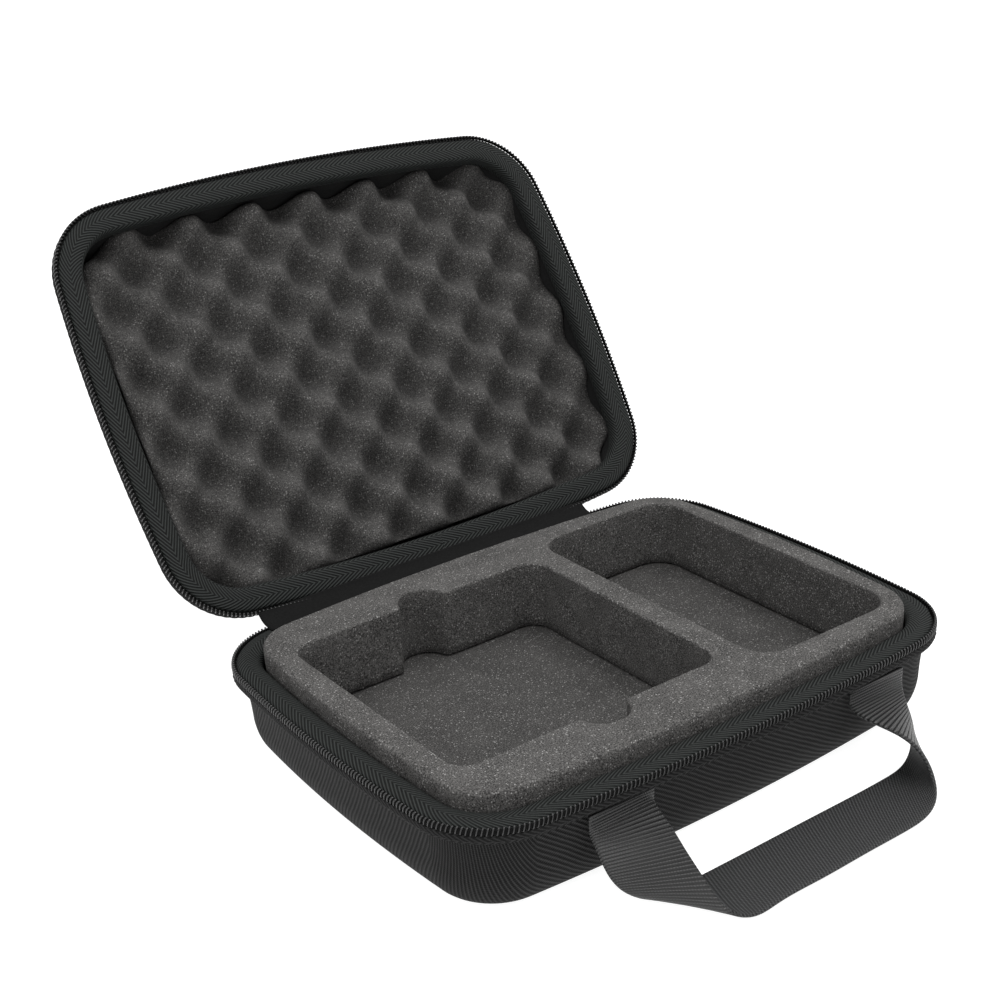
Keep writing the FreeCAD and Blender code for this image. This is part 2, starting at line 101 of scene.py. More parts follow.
def tangent_arcs(width, depth, corner, short_bulge=SHORT_SIDE_BULGE, long_bulge=LONG_SIDE_BULGE):
    """Centre, radius, start and sweep of the arcs of a bulged, rounded rectangle."""
    flat_x, flat_y = width / 2 - corner, depth / 2 - corner
    short_radius = (flat_y ** 2 + short_bulge ** 2) / (2 * short_bulge)
    long_radius = (flat_x ** 2 + long_bulge ** 2) / (2 * long_bulge)
    side = Vector((width / 2 - short_radius, 0))
    rear = Vector((0, depth / 2 - long_radius))
    between = rear - side
    from_side, from_rear = short_radius - corner, long_radius - corner
    along = (from_side ** 2 - from_rear ** 2 + between.length ** 2) / (2 * between.length)
    across = math.sqrt(from_side ** 2 - along ** 2)
    unit = between.normalized()
    centre = side + unit * along + Vector((-unit.y, unit.x)) * across
    low = math.atan2(centre.y, centre.x - side.x)
    high = math.atan2(centre.y - rear.y, centre.x)
    arcs = []
    for turn, mirror in ((0, 1), (math.pi, -1)):
        arcs.append((side * mirror, short_radius, turn - low, 2 * low))
        arcs.append((centre * mirror, corner, turn + low, high - low))
        arcs.append((rear * mirror, long_radius, turn + high, math.pi - 2 * high))
        arcs.append((Vector((-centre.x, centre.y)) * mirror, corner, turn + math.pi - high, high - low))
    return arcs


class Outline:
    """A closed outline as even steps round it, starting at the middle of the hinge side."""

    def __init__(self, arcs, step=OUTLINE_STEP):
        points, normals = [], []
        for centre, radius, start, sweep in arcs:
            count = 2 * max(2, round(radius * sweep / step / 2))
            for k in range(count):
                angle = start + sweep * k / count
                normals.append((math.cos(angle), math.sin(angle)))
                points.append((centre.x + radius * normals[-1][0], centre.y + radius * normals[-1][1]))
        points, normals = np.array(points), np.array(normals)
        rear_middle = np.argmax(points[:, 1] - np.abs(points[:, 0]))
        self.points = np.roll(points, -rear_middle, axis=0)
        self.normals = np.roll(normals, -rear_middle, axis=0)
        gaps = np.linalg.norm(np.roll(self.points, -1, axis=0) - self.points, axis=1)
        self.run = np.concatenate(([0], np.cumsum(gaps)))
        self.length = self.run[-1]

    def inside(self, inset):
        """Points of the same outline drawn in by the inset."""
        return self.points - self.normals * inset

    def at(self, distance):
        """Points and outward normals at distances along the outline."""
        around = np.mod(distance, self.length)
        closed_points = np.vstack((self.points, self.points[:1]))
        closed_normals = np.vstack((self.normals, self.normals[:1]))
        points = np.stack([np.interp(around, self.run, closed_points[:, k]) for k in (0, 1)], axis=1)
        normals = np.stack([np.interp(around, self.run, closed_normals[:, k]) for k in (0, 1)], axis=1)
        return points, normals


BASE_OUTLINE = Outline(tangent_arcs(BASE_WIDTH, BASE_DEPTH, CORNER_RADIUS))
LID_OUTLINE = Outline(tangent_arcs(LID_WIDTH, LID_DEPTH, CORNER_RADIUS))


def in_base(flat, depth):
    """Frame positions of points of the base, given in plan with their depths."""
    depth = np.broadcast_to(depth, flat.shape[:-1])
    return np.stack((flat[..., 0], flat[..., 1], PARTING_Z - depth), axis=-1)


def in_lid(flat, depth):
    """The same for the lid, drawn closed and turned open about the hinge."""
    depth = np.broadcast_to(depth, flat.shape[:-1])
    from_hinge_y, from_hinge_z = flat[..., 1] - HINGE_Y, PARTING_Z + depth - HINGE_Z
    cosine, sine = math.cos(LID_OPEN_ANGLE), math.sin(LID_OPEN_ANGLE)
    y = HINGE_Y + from_hinge_y * cosine - from_hinge_z * sine
    z = HINGE_Z + from_hinge_y * sine + from_hinge_z * cosine
    return np.stack((flat[..., 0], y, z), axis=-1)


# ---------------------------------------------------------------- meshes

def mesh_piece(name, vertices, faces, uvs=None):
    """A smooth-shaded mesh object; uvs gives each face's corners their (u, v) in metres."""
    mesh = bpy.data.meshes.new(name)
    mesh.from_pydata([tuple(v) for v in vertices], [], faces)
    if uvs is not None:
        layer = mesh.uv_layers.new(name="cloth")
        layer.data.foreach_set("uv", np.array([c for face in uvs for c in face], np.float32).ravel())
    mesh.polygons.foreach_set("use_smooth", [True] * len(mesh.polygons))
    piece = bpy.data.objects.new(name, mesh)
    bpy.context.scene.collection.objects.link(piece)
    return piece


def face_outwards(piece):
    bm = bmesh.new()
    bm.from_mesh(piece.data)
    bmesh.ops.recalc_face_normals(bm, faces=bm.faces)
    bm.to_mesh(piece.data)
    bm.free()
    return piece


def finished(piece, body, materials, stands_for=()):
    """Gives a piece its looks, the body it rides on and the CAD nodes it stands for."""
    for material in materials:
        piece.data.materials.append(material)
    if body:
        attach(piece, body)
    if stands_for:
        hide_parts(*stands_for)
    return piece


def rounded(profile, times=2, closed=True):
    """Cuts the corners of a profile until it is smooth."""
    points = np.array(profile)
    for _ in range(times):
        ahead = np.roll(points, -1, axis=0) if closed else points[1:]
        here = points if closed else points[:-1]
        cut = np.stack((here * 0.75 + ahead * 0.25, here * 0.25 + ahead * 0.75), axis=1).reshape(-1, 2)
        points = cut if closed else np.vstack((points[:1], cut, points[-1:]))
    return points


def run_lengths(points):
    steps = np.linalg.norm(np.diff(points, axis=0), axis=1)
    return np.concatenate(([0], np.cumsum(steps)))


def swept(name, outline, profile, place, closed=True):
    """Carries a profile round the outline; u runs along the outline and v across the profile."""
    profile = np.array(profile)
    count, width = len(outline.points), len(profile)
    flat = outline.points[:, None, :] - outline.normals[:, None, :] * profile[None, :, 0, None]
    vertices = place(flat, profile[None, :, 1]).reshape(-1, 3)
    across = run_lengths(np.vstack((profile, profile[:1])) if closed else profile)
    faces, uvs = [], []
    for i in range(count):
        ahead = (i + 1) % count
        for j in range(width if closed else width - 1):
            k = (j + 1) % width
            faces.append((i * width + j, ahead * width + j, ahead * width + k, i * width + k))
            u, v = outline.run[i:i + 2], across[j:j + 2]
            uvs.append(((u[0], v[0]), (u[1], v[0]), (u[1], v[1]), (u[0], v[1])))
    piece = mesh_piece(name, vertices, faces, uvs)
    return face_outwards(piece) if closed else piece


def shell_skin(name, outline, place, foot):
    """Outside of one half, from the sewing flange down the wall and over the flat.

    Its (u, v) are where each point lies in the one flat sheet of cloth that was pressed over it.
    """
    flange = [(0.0044, 0.0030), (0.0024, 0.0034), (0.0016, 0.0042), (0.0017, 0.0054), (0.0042, 0.0067)]
    profile = rounded(flange + foot, closed=False)
    across = run_lengths(profile)
    count, width = len(outline.points), len(profile)
    flat = outline.points[:, None, :] - outline.normals[:, None, :] * profile[None, :, 0, None]
    vertices = list(place(flat, profile[None, :, 1]).reshape(-1, 3))
    reach = across[-1] - across - foot[-1][0]
    sheet = outline.points[:, None, :] + outline.normals[:, None, :] * reach[None, :, None]
    sheet = sheet.reshape(-1, 2)
    faces = []
    for i in range(count):
        ahead = (i + 1) % count
        for j in range(width - 1):
            faces.append((i * width + j, ahead * width + j, ahead * width + j + 1, i * width + j + 1))
    faces.append(tuple(i * width + width - 1 for i in range(count)))
    uvs = [[sheet[corner] for corner in face] for face in faces]
    piece = mesh_piece(name, vertices, faces, uvs)
    return face_outwards(piece)


def tube_rings(path, sideways, radius, sides=6):
    """Vertices and faces of a round wire along a path; sideways is a direction it never runs in.

    The radius is one number, or one for each point of the path in an (n, 1, 1) array.
    """
    forward = np.gradient(path, axis=0)
    forward /= np.linalg.norm(forward, axis=1, keepdims=True)
    first = sideways - forward * np.sum(sideways * forward, axis=1, keepdims=True)
    first /= np.linalg.norm(first, axis=1, keepdims=True)
    second = np.cross(forward, first)
    turns = np.arange(sides) * 2 * math.pi / sides
    ring = first[:, None] * np.cos(turns)[None, :, None] + second[:, None] * np.sin(turns)[None, :, None]
    vertices = (path[:, None] + radius * ring).reshape(-1, 3)
    faces = []
    for i in range(len(path) - 1):
        for j in range(sides):
            k = (j + 1) % sides
            faces.append((i * sides + j, i * sides + k, (i + 1) * sides + k, (i + 1) * sides + j))
    last = (len(path) - 1) * sides
    faces.append(tuple(reversed(range(sides))))
    faces.append(tuple(range(last, last + sides)))
    return vertices, faces


def coil_section(phase, share=1.0):
    """Oval that each turn of the coil follows, as (inset, depth), or a smaller one inside it."""
    head, tail = np.array(COIL_HEAD), np.array(COIL_TAIL)
    middle, half_long = (head + tail) / 2, (head - tail) / 2
    half_short = np.array((-half_long[1], half_long[0])) / np.linalg.norm(half_long) * COIL_HALF_THICKNESS
    return middle + share * (np.cos(phase)[:, None] * half_long + np.sin(phase)[:, None] * half_short)


def zipper_coil(name, outline, place):
    """Nylon coil wound along the rim, open across the middle of the hinge side."""
    steps_per_turn = 14
    turns = int((outline.length - 2 * COIL_END_X) / COIL_PITCH)
    phase = np.arange(turns * steps_per_turn + 1) * 2 * math.pi / steps_per_turn
    distance = COIL_END_X + phase / (2 * math.pi) * COIL_PITCH
    points, normals = outline.at(distance)
    section = coil_section(phase)
    path = place(points - normals * section[:, :1], section[:, 1])
    ahead, behind = outline.at(distance + OUTLINE_STEP)[0], outline.at(distance - OUTLINE_STEP)[0]
    sideways = place(ahead, 0) - place(behind, 0)
    sideways /= np.linalg.norm(sideways, axis=1, keepdims=True)
    swell = 1 + COIL_HEAD_SWELL * np.clip(np.cos(phase), 0, 1) ** 3
    vertices, faces = tube_rings(path, sideways, COIL_WIRE_RADIUS * swell[:, None, None])
    return mesh_piece(name, vertices, faces)


def rim_stitches(name, outline, place, inset, depth):
    """A row of lockstitches along the lip."""
    vertices, faces = [], []
    count = int(outline.length / (STITCH_LENGTH + STITCH_GAP))
    bow = np.array((0.25, 0.9, 1.0, 0.9, 0.25)) * STITCH_RADIUS
    for k in range(count):
        start = k * outline.length / count
        distance = start + np.linspace(0, STITCH_LENGTH, len(bow))
        points, normals = outline.at(distance)
        path = place(points - normals * (inset - bow)[:, None], np.full(len(bow), depth))
        up = np.tile(place(points[:1], 1.0)[0] - place(points[:1], 0.0)[0], (len(bow), 1))
        ring, sides = tube_rings(path, up, STITCH_RADIUS, sides=5)
        offset = len(vertices)
        vertices.extend(ring)
        faces.extend(tuple(corner + offset for corner in face) for face in sides)
    return mesh_piece(name, vertices, faces)


def arc_points(centre, radius, start, end, step=0.0008):
    """Points along an arc in plan, between two angles in degrees, without the last one."""
    count = max(3, math.ceil(radius * math.radians(abs(end - start)) / step))
    angles = np.radians(np.linspace(start, end, count, endpoint=False))
    return np.stack((centre[0] + radius * np.cos(angles), centre[1] + radius * np.sin(angles)), axis=1)


def notch_in_wall(wall_y, outwards):
    """Finger notch with rounded mouths in a pocket's long wall, walked counterclockwise."""
    spread = math.sqrt((NOTCH_RADIUS + NOTCH_MOUTH_RADIUS) ** 2 - NOTCH_MOUTH_RADIUS ** 2)
    lean = math.degrees(math.asin(NOTCH_MOUTH_RADIUS / (NOTCH_RADIUS + NOTCH_MOUTH_RADIUS)))
    mouth_y = NOTCH_MOUTH_RADIUS
    near = arc_points((spread, mouth_y), NOTCH_MOUTH_RADIUS, -90, -180 + lean)
    middle = arc_points((0, 0), NOTCH_RADIUS, lean, 180 - lean)
    far = arc_points((-spread, mouth_y), NOTCH_MOUTH_RADIUS, -lean, -90)
    return np.array((NOTCH_X, wall_y)) + np.vstack((near, middle, far)) * outwards


def pocket_loop(pocket, notched=False):
    """Counterclockwise outline of a pocket."""
    low_x, high_x, low_y, high_y, radius = pocket
    near = lambda x, y, start: arc_points((x, y), radius, start, start + 90)
    loop = [near(high_x - radius, low_y + radius, -90), near(high_x - radius, high_y - radius, 0)]
    if notched:
        loop.append(notch_in_wall(high_y, 1))
    loop += [near(low_x + radius, high_y - radius, 90), near(low_x + radius, low_y + radius, 180)]
    if notched:
        loop.append(notch_in_wall(low_y, -1))
    return evenly(np.vstack(loop))


def evenly(loop, step=0.0012):
    """A closed loop walked again in even steps."""
    closed = np.vstack((loop, loop[:1]))
    run = run_lengths(closed)
    at = np.linspace(0, run[-1], round(run[-1] / step), endpoint=False)
    return np.stack([np.interp(at, run, closed[:, k]) for k in (0, 1)], axis=1)


def loop_normals(loop):
    """Unit normals on the right of a loop, which is outside a counterclockwise one."""
    along = np.roll(loop, -1, axis=0) - np.roll(loop, 1, axis=0)
    along /= np.linalg.norm(along, axis=1, keepdims=True)
    return np.stack((along[:, 1], -along[:, 0]), axis=1)


def foam_block(name, outer, holes, low, high, outer_round, hole_round, foot_taper=0.0):
    """A slab of foam with soft edges, cut through by the holes; its walls waver slightly."""
    bm = bmesh.new()
    top_edges, bottom_edges = [], []
    loops = [(outer, 1, outer_round)] + [(hole, -1, hole_round) for hole in holes]
    for loop, direction, radius in loops:
        normals = loop_normals(loop) * direction
        quarter = [math.radians(a) for a in (0, 22.5, 45, 67.5, 90)]
        levels = [(radius * (1 - math.sin(a)), high - radius * (1 - math.cos(a))) for a in quarter]
        wall = np.linspace(high - radius, low + radius, 9)[1:]
        levels += [(foot_taper * (high - z) / (high - low), z) for z in wall]
        levels.append((radius + foot_taper, low))
        rings = []
        for inset, z in levels:
            ring = []
            for point, normal in zip(loop, normals):
                waver = FOAM_WAVER * noise.noise(Vector((point[0] * 90, point[1] * 90, z * 120)))
                x, y = point - normal * (inset + waver)
                ring.append(bm.verts.new((x, y, z)))
            rings.append(ring)
        for upper, lower in zip(rings, rings[1:]):
            for i in range(len(upper)):
                k = (i + 1) % len(upper)
                bm.faces.new((upper[i], upper[k], lower[k], lower[i]))
        for ring, edges in ((rings[0], top_edges), (rings[-1], bottom_edges)):
            edges.extend(bm.edges.get((ring[i], ring[(i + 1) % len(ring)])) for i in range(len(ring)))
    for edges in (top_edges, bottom_edges):
        bmesh.ops.triangle_fill(bm, use_beauty=True, use_dissolve=False, edges=edges)
    bmesh.ops.recalc_face_normals(bm, faces=bm.faces)
    mesh = bpy.data.meshes.new(name)
    bm.to_mesh(mesh)
    bm.free()
    mesh.polygons.foreach_set("use_smooth", [True] * len(mesh.polygons))
    piece = bpy.data.objects.new(name, mesh)
    bpy.context.scene.collection.objects.link(piece)
    return piece


def inside_distance(x, y, half_x, half_y, corner):
    """How far a point is inside a rounded rectangle; negative outside."""
    over_x, over_y = abs(x) - (half_x - corner), abs(y) - (half_y - corner)
    if over_x > 0 and over_y > 0:
        return corner - math.hypot(over_x, over_y)
    return min(half_x - abs(x), half_y - abs(y))


def egg_crate_rise(x, y):
    """Height of the egg-crate surface at a place, from -1 in the hollows to 1 on the peaks."""
    turn_x = 2 * math.pi * (x - EGG_CRATE_FIRST_PEAK[0]) / EGG_CRATE_PITCH_X
    turn_y = 2 * math.pi * (HINGE_Y - y - EGG_CRATE_FIRST_PEAK[1]) / EGG_CRATE_PITCH_Y
    return math.cos(turn_x) * math.cos(turn_y)


def egg_crate(name):
    """Egg-crate foam: staggered rows of round peaks, flatter at its short sides, its edges tucked in."""
    cell, unevenness, uneven_per_metre = 0.0015, 0.10, 45
    tuck_reach, tuck_depth, tuck_depth_in_hollows = 0.0035, 0.0005, 0.0025
    side_hollow_depth, back_shrink = 0.0030, 0.07
    half_x, half_y = EGG_CRATE_WIDTH / 2, EGG_CRATE_DEPTH / 2
    across, deep = round(2 * half_x / cell), round(2 * half_y / cell)
    middle = (EGG_CRATE_PEAK_DEPTH + EGG_CRATE_VALLEY_DEPTH) / 2
    swing = (EGG_CRATE_VALLEY_DEPTH - EGG_CRATE_PEAK_DEPTH) / 2
    bm = bmesh.new()
    hollow = bm.verts.layers.float.new("hollow")
    grid = {}
    for i in range(across + 1):
        for j in range(deep + 1):
            x, y = -half_x + i * 2 * half_x / across, -half_y + j * 2 * half_y / deep
            inside = inside_distance(x, y, half_x, half_y, EGG_CRATE_CORNER)
            if inside < -0.8 * cell:
                continue
            if inside < 0.0:
                centre = Vector((math.copysign(half_x - EGG_CRATE_CORNER, x),
                                 math.copysign(half_y - EGG_CRATE_CORNER, y)))
                outwards = (Vector((x, y)) - centre).normalized() * EGG_CRATE_CORNER
                x, y = centre + outwards
                inside = 0.0
            rise = egg_crate_rise(x + EGG_CRATE_CENTRE[0], y + EGG_CRATE_CENTRE[1])
            rise += unevenness * noise.noise(Vector((x * uneven_per_metre, y * uneven_per_metre, 3.1)))
            tuck = max(0.0, 1 - inside / tuck_reach)
            low = 0.5 - 0.5 * rise
            flat = max(0.0, 1 - (half_x - abs(x)) / EGG_CRATE_SIDE_REACH) ** 1.5
            side_depth = EGG_CRATE_SIDE_DEPTH + side_hollow_depth * low
            depth = (middle - swing * rise) * (1 - flat) + side_depth * flat
            depth += (tuck_depth + tuck_depth_in_hollows * low) * tuck ** 2
            x = x * (1 - EGG_CRATE_PUCKER[0] * low * tuck / half_x) + EGG_CRATE_CENTRE[0]
            y = y * (1 - EGG_CRATE_PUCKER[1] * low * tuck / half_y) + EGG_CRATE_CENTRE[1]
            vertex = bm.verts.new(in_lid(np.array((x, y)), depth))
            vertex[hollow] = low
            grid[i, j] = vertex
    for i in range(across):
        for j in range(deep):
            corners = [grid.get(key) for key in ((i, j), (i + 1, j), (i + 1, j + 1), (i, j + 1))]
            present = [corner for corner in corners if corner]
            if len(present) >= 3:
                bm.faces.new(present)
    rim = [edge for edge in bm.edges if edge.is_boundary]
    inwards = Vector(in_lid(np.array((0.0, 0.0)), EGG_CRATE_BACK_DEPTH))
    back = Vector(in_lid(np.zeros(2), 1.0) - in_lid(np.zeros(2), 0.0))
    side = bmesh.ops.extrude_edge_only(bm, edges=rim)["geom"]
    back_vertices = [item for item in side if isinstance(item, bmesh.types.BMVert)]
    for vertex in back_vertices:
        to_centre = inwards - vertex.co
        depth_left = to_centre.dot(back)
        vertex.co += back * depth_left
        vertex.co += (inwards - vertex.co) * back_shrink
    bmesh.ops.contextual_create(bm, geom=[e for e in bm.edges if e.is_boundary])
    bmesh.ops.recalc_face_normals(bm, faces=bm.faces)
    mesh = bpy.data.meshes.new(name)
    bm.to_mesh(mesh)
    bm.free()
    mesh.polygons.foreach_set("use_smooth", [True] * len(mesh.polygons))
    piece = bpy.data.objects.new(name, mesh)
    bpy.context.scene.collection.objects.link(piece)
    return piece


# ---------------------------------------------------------------- handle and hinge strip

def spline(points, at):
    """Natural cubic spline through points, with its parameter at each of them, sampled at at."""
    knots, values = points
    values = np.array(values)
    gaps = np.diff(knots)
    count = len(knots)
    system = np.eye(count)
    target = np.zeros((count, values.shape[1]))
    for k in range(1, count - 1):
        system[k, k - 1:k + 2] = gaps[k - 1], 2 * (gaps[k - 1] + gaps[k]), gaps[k]
        target[k] = 6 * ((values[k + 1] - values[k]) / gaps[k] - (values[k] - values[k - 1]) / gaps[k - 1])
    bend = np.linalg.solve(system, target)
    span = np.clip(np.searchsorted(knots, at) - 1, 0, count - 2)
    width = gaps[span][:, None]
    ahead, behind = (knots[span + 1] - at)[:, None], (at - knots[span])[:, None]
    return (bend[span] * ahead ** 3 + bend[span + 1] * behind ** 3) / (6 * width) \
        + (values[span] / width - bend[span] * width / 6) * ahead \
        + (values[span + 1] / width - bend[span + 1] * width / 6) * behind


def handle_edges():
    """The webbing's two edges: outside of the legs and back of the bar, inside and front of it."""
    left_out, left_in, right_in, right_out = -0.0649, -0.0394, 0.0463, 0.0718
    outside_of_leg = [
        (left_out, HANDLE_Y, SEWN_END_TOP_Z), (left_out, HANDLE_Y, SEWN_END_LOW_Z),
        (left_out, HANDLE_Y, HANDLE_BEND_Z), (-0.0643, -0.0826, 0.0190), (-0.0632, -0.0856, 0.0120),
        (-0.0610, -0.0896, 0.0058), (-0.0558, -0.0934, 0.0023), (-0.0460, -0.0956, 0.0014),
        (-0.0320, -0.0964, 0.0013), (-0.0120, -0.0965, 0.0013), (0.0100, -0.0965, 0.0013),
        (0.0320, -0.0966, 0.0013), (0.0470, -0.0965, 0.0014), (0.0580, -0.0956, 0.0024),
        (0.0652, -0.0926, 0.0065), (0.0690, -0.0876, 0.0140), (right_out, HANDLE_Y, HANDLE_BEND_Z),
        (right_out, HANDLE_Y, SEWN_END_LOW_Z), (right_out, HANDLE_Y, SEWN_END_TOP_Z)]
    inside_of_leg = [
        (left_in, HANDLE_Y, SEWN_END_TOP_Z), (left_in, HANDLE_Y, SEWN_END_LOW_Z),
        (left_in, HANDLE_Y, HANDLE_BEND_Z), (-0.0402, -0.0880, 0.0196), (-0.0410, -0.0965, 0.0148),
        (-0.0420, -0.1065, 0.0094), (-0.0420, -0.1154, 0.0045), (-0.0376, -0.1206, 0.0021),
        (-0.0260, -0.1213, 0.0019), (-0.0080, -0.1213, 0.0020), (0.0120, -0.1213, 0.0022),
        (0.0300, -0.1213, 0.0022), (0.0425, -0.1200, 0.0028), (0.0500, -0.1158, 0.0056),
        (0.0524, -0.1094, 0.0121), (0.0498, -0.0995, 0.0188), (right_in, HANDLE_Y, HANDLE_BEND_Z),
        (right_in, HANDLE_Y, SEWN_END_LOW_Z), (right_in, HANDLE_Y, SEWN_END_TOP_Z)]
    return np.array(outside_of_leg), np.array(inside_of_leg)


def carry_handle(name):
    """Webbing loop with round selvages; material 0 is its ribbed outside, 1 its twill inside."""
    edges = handle_edges()
    knots = run_lengths((edges[0] + edges[1]) / 2)
    at = np.linspace(0, knots[-1], round(knots[-1] / WEBBING_STEP))
    outer, inner = (spline((knots, edge), at) for edge in edges)
    forward = np.gradient((outer + inner) / 2, axis=0)
    across = inner - outer
    normal = np.cross(across, forward)
    normal /= np.linalg.norm(normal, axis=1, keepdims=True)
    half = WEBBING_THICKNESS / 2
    selvage = 0.030                                       # share of the width that rounds off
    shares = np.concatenate(([0.0, selvage / 3, selvage], np.linspace(0.08, 0.92, 15),
                             [1 - selvage, 1 - selvage / 3, 1.0]))
    beyond = np.clip((np.abs(shares - 0.5) - 0.5 + selvage) / selvage, 0, 1)
    heights = half * np.sqrt(np.clip(1 - beyond ** 2, 0.04, 1))
    section = [(s, h, 1) for s, h in zip(shares, heights)]
    section += [(s, -h, -1) for s, h in zip(shares[::-1], heights[::-1])]
    vertices = [outer + across * s + normal * h for s, h, _ in section]
    vertices = np.stack(vertices, axis=1)
    count, width = vertices.shape[:2]
    full_width = float(np.median(np.linalg.norm(across, axis=1)))
    faces, uvs, inside_faces = [], [], []
    for i in range(count - 1):
        for j in range(width):
            k = (j + 1) % width
            faces.append((i * width + j, i * width + k, (i + 1) * width + k, (i + 1) * width + j))
            u, v = (section[j][0] * full_width, section[k][0] * full_width), at[i:i + 2]
            uvs.append(((u[0], v[0]), (u[1], v[0]), (u[1], v[1]), (u[0], v[1])))
            inside_faces.append(1 if section[j][2] > 0 else 0)
    for ring in (range(width), range((count - 1) * width, count * width)):
        faces.append(tuple(ring))
        uvs.append([(0, 0)] * width)
        inside_faces.append(0)
    piece = mesh_piece(name, vertices.reshape(-1, 3), faces, uvs)
    piece.data.polygons.foreach_set("material_index", inside_faces)
    return face_outwards(piece)


def hinge_strip(name):
    """Cloth strip from the base's binding to the lid's, hanging in a shallow fold between them."""
    line = np.array(HINGE_CLOTH_LINE)
    knots = run_lengths(line)
    at = np.linspace(0, knots[-1], 22)
    side = spline((knots, line), at)
    columns = 76
    thickness = 0.0005
    slope = np.gradient(side, axis=0)
    slope /= np.linalg.norm(slope, axis=1, keepdims=True)
    up = np.stack((-slope[:, 1], slope[:, 0]), axis=1)
    vertices, faces, uvs = [], [], []
    for layer in (0, 1):
        for i in range(columns + 1):
            x = HINGE_STRIP_LEFT + (HINGE_STRIP_RIGHT - HINGE_STRIP_LEFT) * i / columns
            for (y, z), (out_y, out_z), run in zip(side, up, at):
                crease = 0.0003 * noise.noise(Vector((x * 110, run * 60, 0.5)))
                crease *= math.sin(math.pi * run / at[-1])
                height = crease + layer * thickness
                vertices.append((x, y + out_y * height, z + out_z * height))
    rows = len(side)
    sheet = (columns + 1) * rows
    for layer in (0, 1):
        for i in range(columns):
            for j in range(rows - 1):
                a = layer * sheet + i * rows + j
                faces.append((a, a + rows, a + rows + 1, a + 1))
                u = [HINGE_STRIP_LEFT + (HINGE_STRIP_RIGHT - HINGE_STRIP_LEFT) * k / columns
                     for k in (i, i + 1)]
                uvs.append(((u[0], at[j]), (u[1], at[j]), (u[1], at[j + 1]), (u[0], at[j + 1])))
    border = [i * rows for i in range(columns + 1)] + [columns * rows + j for j in range(1, rows)] \
        + [i * rows + rows - 1 for i in range(columns - 1, -1, -1)] + list(range(rows - 2, 0, -1))
    for a, b in zip(border, border[1:] + border[:1]):
        faces.append((a, b, b + sheet, a + sheet))
        uvs.append([(0, 0)] * 4)
    return face_outwards(mesh_piece(name, vertices, faces, uvs))


# ---------------------------------------------------------------- materials

class Surface:
    """One node material, built up step by step."""

    def __init__(self, name):
        self.material = bpy.data.materials.new(name)
        self.material.use_nodes = True
        self.tree = self.material.node_tree
        self.shader = self.tree.nodes["Principled BSDF"]

    def node(self, kind, inputs=None, **settings):
        node = self.tree.nodes.new(kind)
        for key, value in settings.items():
            setattr(node, key, value)
        for key, value in (inputs or {}).items():
            self.feed(node.inputs[key], value)
        return node

    def feed(self, socket, value):
        if isinstance(value, bpy.types.NodeSocket):
            self.tree.links.new(value, socket)
        else:
            socket.default_value = value

    def math(self, operation, *values):
        node = self.node("ShaderNodeMath", operation=operation)
        for socket, value in zip(node.inputs, values):
            self.feed(socket, value)
        return node.outputs[0]

    def map(self, value, low, high, to_low=0.0, to_high=1.0):
        node = self.node("ShaderNodeMapRange", {"Value": value, "From Min": low, "From Max": high,
                                                "To Min": to_low, "To Max": to_high})
        return node.outputs[0]

    def position(self):
        return self.node("ShaderNodeTexCoord").outputs["Object"]

    def cloth(self):
        """The piece's own (u, v), in metres."""
        uv = self.node("ShaderNodeUVMap", uv_map="cloth").outputs[0]
        parts = self.node("ShaderNodeSeparateXYZ", {0: uv})
        return parts.outputs[0], parts.outputs[1]

    def noise(self, size, detail=2.0, vector=None):
        """Noise of that feature size in metres, from 0 to 1."""
        vector = vector or self.position()
        node = self.node("ShaderNodeTexNoise", {"Vector": vector, "Scale": 1 / size, "Detail": detail})
        return node.outputs[0]

    def wave(self, value, pitch):
        """A sine from 0 to 1 along a length in metres."""
        angle = self.math("MULTIPLY", value, 2 * math.pi / pitch)
        return self.math("MULTIPLY_ADD", self.math("SINE", angle), 0.5, 0.5)

    def colour(self, factor, dark, light):
        node = self.node("ShaderNodeMix", data_type="RGBA")
        self.feed(node.inputs[0], factor)
        self.feed(node.inputs[6], (*dark, 1))
        self.feed(node.inputs[7], (*light, 1))
        return node.outputs[2]

    def finish(self, colour, roughness, height=None, bump=0.0002, strength=0.6, **constants):
        self.feed(self.shader.inputs["Base Color"], colour)
        self.feed(self.shader.inputs["Roughness"], roughness)
        for key, value in constants.items():
            self.shader.inputs[key.replace("_", " ")].default_value = value
        if height is not None:
            node = self.node("ShaderNodeBump", {"Height": height, "Distance": bump, "Strength": strength})
            self.feed(self.shader.inputs["Normal"], node.outputs[0])
        return self.material


def grey(value, warmth=0.0):
    """A near-neutral colour; positive warmth tints it towards red."""
    return (value * (1 + warmth), value, value * (1 - warmth))


